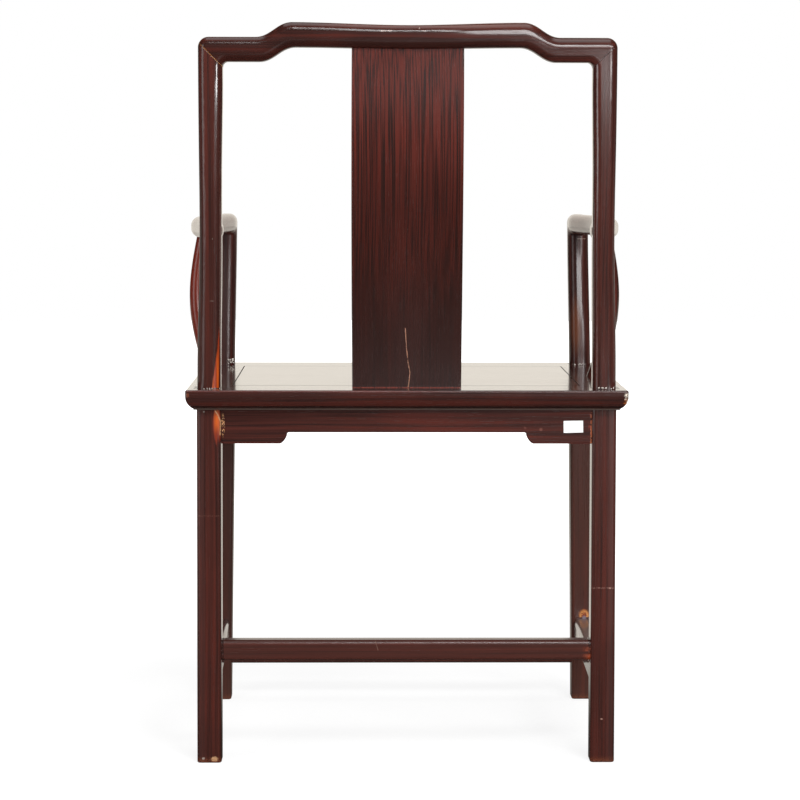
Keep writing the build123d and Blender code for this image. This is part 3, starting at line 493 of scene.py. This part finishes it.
# --- Side aprons and side stretchers ------------------------------------------------------------
# Boards and bars of the same wood that run from front to back and splay a little with the legs.
# The bars are glossy, with a film of dust on top.
dust_grey = (0.20, 0.15, 0.11)
for seed, side in ((9, "left"), (10, "right")):
    Hardwood(f"apron_{side}_wood", FORE_AND_AFT, seed).apply(nodes[f"apron_{side}"])
    bar = Hardwood(f"stretcher_{side}_wood", FORE_AND_AFT, seed + 2, redness=0.4)
    bar_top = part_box(f"stretcher_{side}")[1].z
    dust = bar.z.over(bar_top - 0.004, bar_top - 0.001) * bar.clouds.over(0.40, 0.60)
    bar.coat = 0.85
    bar.mark(dust * 0.35, dust_grey, roughness=0.6, coat=0.3)
    bar.apply(nodes[f"stretcher_{side}"])


# --- Seat frame ---------------------------------------------------------------------------------
# Four moulded members mitred at the corners. The mitres and the edge of the floating panel show as
# fine lines, and the right rear corner is knocked down to pale and orange wood.
seat_low, seat_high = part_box("seat_rail_rear")
top_grains = {"rear": ACROSS, "front": ACROSS, "left": FORE_AND_AFT, "right": FORE_AND_AFT}
frame_dark, lip_painted_highlight, arris_red = (0.020, 0.0085, 0.0072), (0.058, 0.042, 0.034), (0.17, 0.035, 0.030)
fleck_white, corner_orange, corner_brown = (0.66, 0.58, 0.48), (0.34, 0.085, 0.008), (0.15, 0.035, 0.012)
corner_flecks = (
    ((-0.2925, 0.2225, 0.5035), (0.0035, 0.006, 0.0035)),
    ((-0.2905, 0.2215, 0.4985), (0.0014, 0.006, 0.0012)),
    ((-0.2940, 0.2215, 0.4925), (0.0025, 0.006, 0.0070)),
)
post_places = ((0.2665, 0.1848), (0.2695, -0.2007))
for seed, (side, grain) in enumerate(top_grains.items(), start=13):
    rail = Hardwood(f"seat_rail_{side}_wood", grain, seed, redness=0.4, ripple=0.12)
    rail.colour = rail.mix(0.45, rail.colour, frame_dark)
    rail.coat = 0.08 + (0.80 + rail.clouds * 0.12) * rail.z.over(seat_top - 0.0015, seat_top - 0.0003)

    if side in ("rear", "right"):
        for centre, size in corner_flecks:
            flecks = rail.patch(centre, size, 1.4) * rail.grit.over(0.44, 0.52)
            rail.worn_through(flecks, fleck_white)
        worn = rail.patch((-0.2915, 0.2220, 0.4935), (0.0028, 0.006, 0.0055), 1.2)
        rail.worn_through(worn * rail.fine.over(0.35, 0.55), corner_orange, 0.8)
    if side in ("rear", "left"):
        worn = rail.patch((0.2915, 0.2230, 0.5035), (0.0022, 0.006, 0.0028), 1.2)
        rail.worn_through(worn, corner_brown, 0.7)

    # The rear member's moulding has a dark line of painted shade where a quirk would be, a paler lip under it
    # that is a painted highlight, and a rubbed top edge.
    if side == "rear":
        # A dark line along the moulding, painted shade of a quirk.
        quirk_painted_shade = abs(rail.z - seat_low.z - 0.0042).over(0.0014, 0.0005)
        rail.seam(quirk_painted_shade * rail.y.over(seat_high.y - 0.020, seat_high.y - 0.018), 0.8)
        # The paler line along the bottom lip is a painted highlight.
        lip = rail.z.over(seat_low.z + 0.0032, seat_low.z + 0.0020)
        rail.mark(lip * 0.8, lip_painted_highlight)
        arris = rail.z.over(seat_top - 0.0032, seat_top - 0.0008)
        arris = arris * rail.y.over(seat_high.y - 0.004, seat_high.y)
        rail.mark(arris * rail.streaks.over(0.40, 0.62) * 0.4, arris_red)

    # Dirt lies in a ragged dark square round each post.
    for post_x, post_y in post_places:
        off_x = abs(abs(rail.x) - post_x)
        off_y = abs(rail.y - post_y)
        off = rail.math("MAXIMUM", off_x, off_y) + (rail.grit - 0.5) * 0.006
        on_top = rail.z.over(seat_top - 0.0008, seat_top - 0.0002)
        rail.seam(off.over(0.0192, 0.0176) * on_top, 0.9)
    rail.apply(nodes[f"seat_rail_{side}"])


# --- Seat panel and its battens -----------------------------------------------------------------
# One wide glossy board, flush with the frame. Underneath, two dovetailed battens keep it flat: they
# are thinly stained and have no lacquer to speak of.
panel = Hardwood("seat_panel_wood", ACROSS, 17, redness=0.35, ripple=0.04)
panel.coat = 0.88 + panel.clouds * 0.12
gap = panel.math("MAXIMUM", abs(panel.x).over(0.2352, 0.2358), panel.y.over(0.1505, 0.1525))
panel.seam(gap * panel.z.over(seat_top - 0.0010, seat_top - 0.0002), 0.9)
panel.apply(nodes["seat_panel"])

thin_stain = (0.19, 0.075, 0.035)
for seed, side in ((18, "left"), (19, "right")):
    batten = Hardwood(f"seat_batten_{side}_wood", FORE_AND_AFT, seed, redness=0.5)
    batten.colour = batten.mix(0.45, batten.colour, thin_stain)
    batten.roughness = 0.55 + batten.clouds * 0.15
    batten.coat = 0.05 + batten.clouds * 0.1
    batten.apply(nodes[f"seat_batten_{side}"])


# --- Back splat ---------------------------------------------------------------------------------
# One wide board with an even upright figure, redder than the frame, bent gently to the sitter's
# back. A thin crack has opened along the grain just above the seat.
class SplatWood(Hardwood):
    """The same wood, redder and with more figure."""

    dark = (0.016, 0.0042, 0.0030)
    light = (0.064, 0.0090, 0.0050)
    red = (0.115, 0.0120, 0.0048)
    ink = (0.009, 0.0034, 0.0027)
    figure_shares = {"streaks": 0.16, "bands": 0.03, "clouds": 0.05, "fine": 0.76}


splat_waist, splat_top = 0.737, 0.963
splat_rake, splat_belly = 0.0285, 0.006
splat_bends = [
    ((0, -splat_rake, 0), seat_top, splat_top),
    ((0, splat_belly, 0), seat_top, splat_waist),
    ((0, -splat_belly, 0), splat_waist, splat_top),
]
splat = SplatWood("back_splat_wood", UPRIGHT, 20, redness=0.15, contrast=0.29, ripple=0.2, bends=splat_bends)
bright_red, splat_painted_shade = (0.125, 0.0160, 0.0090), (0.015, 0.0042, 0.0028)
crack_pale, foot_red = (0.58, 0.27, 0.16), (0.22, 0.035, 0.020)
upper_part = splat.z.over(0.74, 0.86) * splat.fine.over(0.40, 0.58)
splat.colour = splat.mix(upper_part * 0.6, splat.colour, bright_red)
# Painted shade: the lower part of the board is darkened towards the seat.
splat.colour = splat.mix(splat.z.over(0.76, 0.57) * 0.72, splat.colour, splat_painted_shade)
crack_points = ((0.0021, 0.5907), (0.0006, 0.566), (-0.0016, 0.5453), (-0.0044, 0.5300), (-0.0022, 0.5112))
crack_face_y = 0.1855
for crack in splat.broken_line(crack_points, crack_face_y, 0.0006, ragged=2.4):
    crack = crack * splat.grit.over(0.38, 0.50)
    splat.mark(crack, crack_pale, roughness=0.4, coat=0.0, relief=-0.0003)
foot = splat.z.over(seat_top + 0.0016, seat_top + 0.0004)
splat.mark(foot * splat.grit.over(0.35, 0.55) * 0.8, foot_red)
splat.apply(nodes["back_splat"])


# --- Crest rail ---------------------------------------------------------------------------------
# The stepped top rail, mitred to the posts at both ends. The left mitre has opened a hair and shows
# light wood, the right one is only a dark line, and the lacquer is scratched near the middle.
crest = Hardwood("crest_rail_wood", ACROSS, 21, redness=0.5)
crest_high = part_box("crest_rail")[1]
end_middle_z, step_up = 0.9583, 0.0165
from_middle = crest.z - (end_middle_z + abs(crest.x).over(0.198, 0.150) * step_up)

# The rear face is flat below its middle and crowned above it, more on the sitter's right.
crown_run = 0.0065
crown_tilt = 0.04 + crest.x.over(-0.030, -0.095) * 0.22
crown = crest.math("MAXIMUM", from_middle + 0.001, 0.0)
crown_share = crest.math("MINIMUM", crown * (1 / crown_run), 1.0)
crown_drop = crown * crown_share - crown_share * crown_share * (crown_run / 2)
crest.relief = crest.relief - crown_drop * crown_tilt

# Painted shade: the wood is darkened from the right shoulder to the left end, and more below the middle of
# the face, where the face turns down from the light.
crest_painted_shade, crest_top_light_red = (0.017, 0.0050, 0.0036), (0.16, 0.030, 0.012)
painted_shade = crest.x.over(-0.230, -0.080) * (0.25 + from_middle.over(0.005, -0.004) * 0.45)
crest.colour = crest.mix(painted_shade, crest.colour, crest_painted_shade)
crest.roughness = crest.roughness - 0.02
crest.coat = crest.clouds * 0.04

opened_orange, scratch_white = (0.50, 0.22, 0.06), (0.55, 0.42, 0.36)
seam = (crest.z - abs(crest.x)).over(mitre_rise + 0.0009, mitre_rise + 0.0003)
crest.seam(seam, 0.7)
opened = seam * crest.x.over(0.0, 0.01) * crest.z.over(0.9680, 0.9640) * crest.grit.over(0.30, 0.42)
crest.worn_through(opened, opened_orange)
scratches = (
    ((0.0355, 0.9822), (0.0300, 0.9822), 0.9),
    ((0.0280, 0.9824), (0.0215, 0.9826), 0.6),
    ((-0.0145, 0.9850), (-0.0149, 0.9870), 0.6),
    ((-0.0190, 0.9824), (-0.0225, 0.9822), 0.4),
)
for *ends, share in scratches:
    scratch = crest.broken_line(ends, crest_high.y, 0.0005, ragged=0.8)[0]
    crest.mark(scratch * share, scratch_white, coat=0.0)
# The top of the crest is painted a lighter red in patches. This is painted light where its rounding faces up
# to the light.
top_painted_light = crest.z.over(crest_high.z - 0.010, crest_high.z - 0.002) * crest.clouds.over(0.38, 0.62)
crest.mark(top_painted_light * 0.45, crest_top_light_red)
crest.apply(nodes["crest_rail"])


# --- Arms and their struts ----------------------------------------------------------------------
# Level arms bowed outwards, tenoned in the back posts and mitred to the front posts, and the slim round
# struts that brace them, turned from the same wood. Hands have dulled the arms' lacquer. Their colour is
# mixed half toward a paler warm brown, partly hand wear and partly painted light for the warm sheen along
# them.
hand_wear_and_painted_warmth, left_strut_painted_light = (0.16, 0.060, 0.035), (0.20, 0.020, 0.008)
for seed, side in ((22, "left"), (23, "right")):
    arm = Hardwood(f"arm_{side}_wood", FORE_AND_AFT, seed, redness=0.5)
    arm.coat = 0.5 + arm.clouds * 0.2
    # Half toward a paler warm brown all over: hand wear, and painted light.
    arm.mark(0.5, hand_wear_and_painted_warmth)
    arm.apply(nodes[f"arm_{side}"])
    strut = Hardwood(f"arm_strut_{side}_wood", UPRIGHT, seed + 2, redness=0.6)
    strut.coat = strut.clouds * 0.06
    # The left strut is mixed toward a brighter red. This is painted light, a lit copy of the right strut's
    # wood.
    if side == "left":
        strut.colour = strut.mix(0.6, strut.colour, left_strut_painted_light)
    strut.apply(nodes[f"arm_strut_{side}"])


# --- Pegs ---------------------------------------------------------------------------------------
# Round pegs that lock the mitres and the frame's corners, planed flush: what shows is a dark disc of
# end grain in the wood round it.
peg_grains = {"crest_pegs": FORE_AND_AFT, "arm_pegs": ACROSS, "seat_frame_pegs": UPRIGHT}
peg_redness = {"crest_pegs": 0.1, "arm_pegs": 0.1, "seat_frame_pegs": 0.2}
for seed, (name, grain) in enumerate(peg_grains.items(), start=26):
    Hardwood(f"{name}_wood", grain, seed, redness=peg_redness[name]).apply(nodes[name])


# --- Crumbs of old wax --------------------------------------------------------------------------
# White crumbs of polish and glue that have gathered where the posts stand on the seat: tiny dry
# lumps in a ragged row round each foot, with a heap on one side.
fresh_wax, dirty_wax = (0.86, 0.83, 0.78), (0.48, 0.40, 0.33)
crumb_wax = Finish("crumb_wax")
dirt = crumb_wax.noise(crumb_wax.place, 900.0).over(0.4, 0.6)
crumb_wax.colour = crumb_wax.mix(dirt, fresh_wax, dirty_wax)
crumb_wax.roughness = 0.8
crumb_wax.coat = 0.0
crumb_wax.coat_roughness = 0.3
crumb_wax.relief = crumb_wax.noise(crumb_wax.place, 1500.0) * 0.0001
crumb_wax.apply()

crumb_tree = bpy.data.node_groups.new("crumbs_round_a_post", "GeometryNodeTree")
interface = crumb_tree.interface
interface.new_socket("Geometry", in_out="OUTPUT", socket_type="NodeSocketGeometry")
input_kinds = {
    "Place": "Vector",
    "Row Length": "Float",
    "Spread": "Vector",
    "Count": "Int",
    "Crumb Size": "Float",
}
crumb_inputs = {}
for name, kind in input_kinds.items():
    made = interface.new_socket(name, in_out="INPUT", socket_type=f"NodeSocket{kind}")
    crumb_inputs[name] = made.identifier
crumbs = Nodes(crumb_tree)


def random_vector(low, high, seed):
    """A vector for each point, between two corners and fixed by its seed."""
    settings = {"data_type": "FLOAT_VECTOR"}
    return crumbs.node("FunctionNodeRandomValue", settings, {0: low, 1: high, "Seed": seed})


given = crumbs.node("NodeGroupInput").output.node.outputs
place, row_length, spread, count, crumb_size = [Socket(crumbs, given[name]) for name in crumb_inputs]
half_row = crumbs.node("ShaderNodeCombineXYZ", sockets={0: row_length * 0.5})
row_ends = {"Start": crumbs.vector("SUBTRACT", place, half_row), "End": crumbs.vector("ADD", place, half_row)}
row = crumbs.node("GeometryNodeCurvePrimitiveLine", sockets=row_ends)
spots = crumbs.node("GeometryNodeCurveToPoints", {"mode": "COUNT"}, {"Curve": row, "Count": count})
strewn = crumbs.vector("MULTIPLY", random_vector((-1.0, -1.0, 0.0), (1.0, 1.0, 1.0), seed=3), spread)
spots = crumbs.node("GeometryNodeSetPosition", sockets={"Geometry": spots, "Offset": strewn})
on_spots = {
    "Points": spots,
    "Instance": crumbs.node("GeometryNodeMeshIcoSphere", sockets={"Radius": crumb_size, "Subdivisions": 2}),
    "Rotation": random_vector((0.0, 0.0, 0.0), (0.6, 0.6, 6.28), seed=7),
    "Scale": random_vector((0.3, 0.3, 0.25), (1.3, 1.1, 0.8), seed=5),
}
lumps = crumbs.node("GeometryNodeInstanceOnPoints", sockets=on_spots)
lumps = crumbs.node("GeometryNodeRealizeInstances", sockets={"Geometry": lumps})
waxed = {"Geometry": lumps, "Material": crumb_wax.material}
lumps = crumbs.node("GeometryNodeSetMaterial", sockets=waxed)
crumbs.node("NodeGroupOutput", sockets={0: lumps})

# For each post: the middle of the row, its length, how far crumbs stray, how many, and their size.
heaps = {
    "front_left": ((0.2560, -0.1795, 0.5110), 0.008, (0.003, 0.001, 0.0085), 24, 0.0011),
    "rear_left": ((0.2650, 0.2045, 0.5102), 0.026, (0.006, 0.0012, 0.0008), 11, 0.0008),
    "front_right": ((-0.2640, -0.1795, 0.5104), 0.018, (0.004, 0.001, 0.0014), 15, 0.0008),
    "rear_right": ((-0.2640, 0.2045, 0.5106), 0.022, (0.006, 0.0012, 0.0016), 8, 0.0014),
}
for name, values in heaps.items():
    holder = bpy.data.objects.new(f"crumbs_{name}", bpy.data.meshes.new(f"crumbs_{name}"))
    bpy.context.scene.collection.objects.link(holder)
    scattering = holder.modifiers.new("crumbs", "NODES")
    scattering.node_group = crumb_tree
    for identifier, value in zip(crumb_inputs.values(), values):
        scattering[identifier] = value
    evaluated = holder.evaluated_get(bpy.context.evaluated_depsgraph_get())
    holder.data = bpy.data.meshes.new_from_object(evaluated)
    holder.modifiers.clear()
    holder.data.materials.clear()
    holder.data.materials.append(crumb_wax.material)
    for face in holder.data.polygons:
        face.material_index = 0
    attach(holder, "root")


# --- Studio -------------------------------------------------------------------------------------
# A white floor that takes the chair's shadow, under an even white sky, and five flat soft lamps:
# three on the side that the chair's back faces, one overhead and a small dim card. The camera
# stands behind the chair, a little above its seat.
camera_place = Vector((0.0563, 3.34325, 0.808))
yaw, pitch, roll = math.radians(0.858), math.radians(5.685), math.radians(0.128)
focal_length = 106.245
camera_data = bpy.data.cameras.new("camera")
camera_data.lens = focal_length
camera_data.sensor_width = 36.0
camera_data.clip_end = 60.0
camera = bpy.data.objects.new("camera", camera_data)
bpy.context.scene.collection.objects.link(camera)
forward = Vector((-math.sin(yaw) * math.cos(pitch), -math.cos(yaw) * math.cos(pitch), -math.sin(pitch)))
right = forward.cross(Vector((0, 0, 1))).normalized()
up = right.cross(forward)
turned_right = right * math.cos(roll) + up * math.sin(roll)
turned_up = up * math.cos(roll) - right * math.sin(roll)
axes = Matrix((turned_right, turned_up, -forward)).transposed()
camera.matrix_world = Matrix.Translation(camera_place) @ axes.to_4x4()
bpy.context.scene.camera = camera

floor_radius = 9.0
rim_corners = 64
turns = [math.tau * corner / rim_corners for corner in range(rim_corners)]
rim = [(math.cos(turn) * floor_radius, math.sin(turn) * floor_radius, 0.0) for turn in turns]
floor_mesh = bpy.data.meshes.new("floor")
floor_mesh.from_pydata(rim, [], [list(range(rim_corners))])
floor = bpy.data.objects.new("floor", floor_mesh)
bpy.context.scene.collection.objects.link(floor)

white = (1.0, 1.0, 1.0, 1.0)
warm_white = (1.0, 0.94, 0.84)
ground = Finish("floor_paper")
path = ground.node("ShaderNodeLightPath").output.node
camera_ray = Socket(ground, path.outputs["Is Camera Ray"])
glossy_ray = Socket(ground, path.outputs["Is Glossy Ray"])

# To the camera the floor is near white round the chair, where its shadow falls, and white beyond.
# The lacquer mirrors it dark behind the chair and bright in front of it.
lifted = 0.55 + ground.length(ground.place).over(0.5, 1.5) * 0.45
floor_grey = (0.6, 0.6, 0.6, 1.0)
matt = ground.node("ShaderNodeBsdfDiffuse", sockets={"Color": floor_grey})
glow = ground.node("ShaderNodeEmission", sockets={"Color": white, "Strength": 1.5})
seen = ground.node("ShaderNodeMixShader", sockets={0: camera_ray * lifted, 1: matt, 2: glow})
mirrored_level = ground.y.over(0.1, -0.8) * 0.7 + 0.04
mirrored_light = {"Color": (*warm_white, 1.0), "Strength": mirrored_level}
mirrored = ground.node("ShaderNodeEmission", sockets=mirrored_light)
seen = ground.node("ShaderNodeMixShader", sockets={0: glossy_ray, 1: seen, 2: mirrored})
ground.node("ShaderNodeOutputMaterial", sockets={"Surface": seen})
floor_mesh.materials.append(ground.material)


def lamp(name, place, aim, width, height, power):
    """A flat soft lamp that faces a point."""
    data = bpy.data.lights.new(name, "AREA")
    data.shape = "RECTANGLE"
    data.size = width
    data.size_y = height
    data.energy = power
    made = bpy.data.objects.new(name, data)
    made.location = place
    made.rotation_euler = (Vector(aim) - Vector(place)).to_track_quat("-Z", "Y").to_euler()
    bpy.context.scene.collection.objects.link(made)


lamp("lamp_left", (2.3, 2.2, 1.1), aim=(0, 0, 0.9), width=1.4, height=2.0, power=24)
lamp("lamp_high_right", (-1.1, 2.85, 2.8), aim=(0.1, 0.2, 0.9), width=3.0, height=0.55, power=85)
lamp("lamp_right", (-1.2, 3.2, 1.15), aim=(-0.2, 0.0, 0.7), width=0.8, height=0.9, power=40)
lamp("lamp_top", (0, 0.0, 3.0), aim=(0, 0, 0.4), width=2.0, height=2.0, power=20)
lamp("lamp_card", (-0.14, 2.4, 0.65), aim=(0, 0.2, 0.65), width=0.7, height=0.36, power=0.6)

world = bpy.data.worlds.new("studio")
bpy.context.scene.world = world
world.use_nodes = True
sky = Nodes(world.node_tree)
way_y = sky.parts_of(sky.node("ShaderNodeTexCoord", output="Generated"))[1]
path = sky.node("ShaderNodeLightPath").output.node
camera_ray = Socket(sky, path.outputs["Is Camera Ray"])
glossy_ray = Socket(sky, path.outputs["Is Glossy Ray"])

# To the camera the sky is white. The lacquer mirrors it dark, but for the part straight in front.
mirrored_level = way_y.over(-0.78, -0.93) * 0.985 + 0.015
level = (0.32 + camera_ray * 0.68) * (1 - glossy_ray) + mirrored_level * glossy_ray
tint = sky.mix(glossy_ray, (1.0, 1.0, 1.0), warm_white)
background = sky.node("ShaderNodeBackground", sockets={"Color": tint, "Strength": level})
sky.node("ShaderNodeOutputWorld", sockets={"Surface": background})

bpy.context.scene.view_settings.view_transform = "Standard"
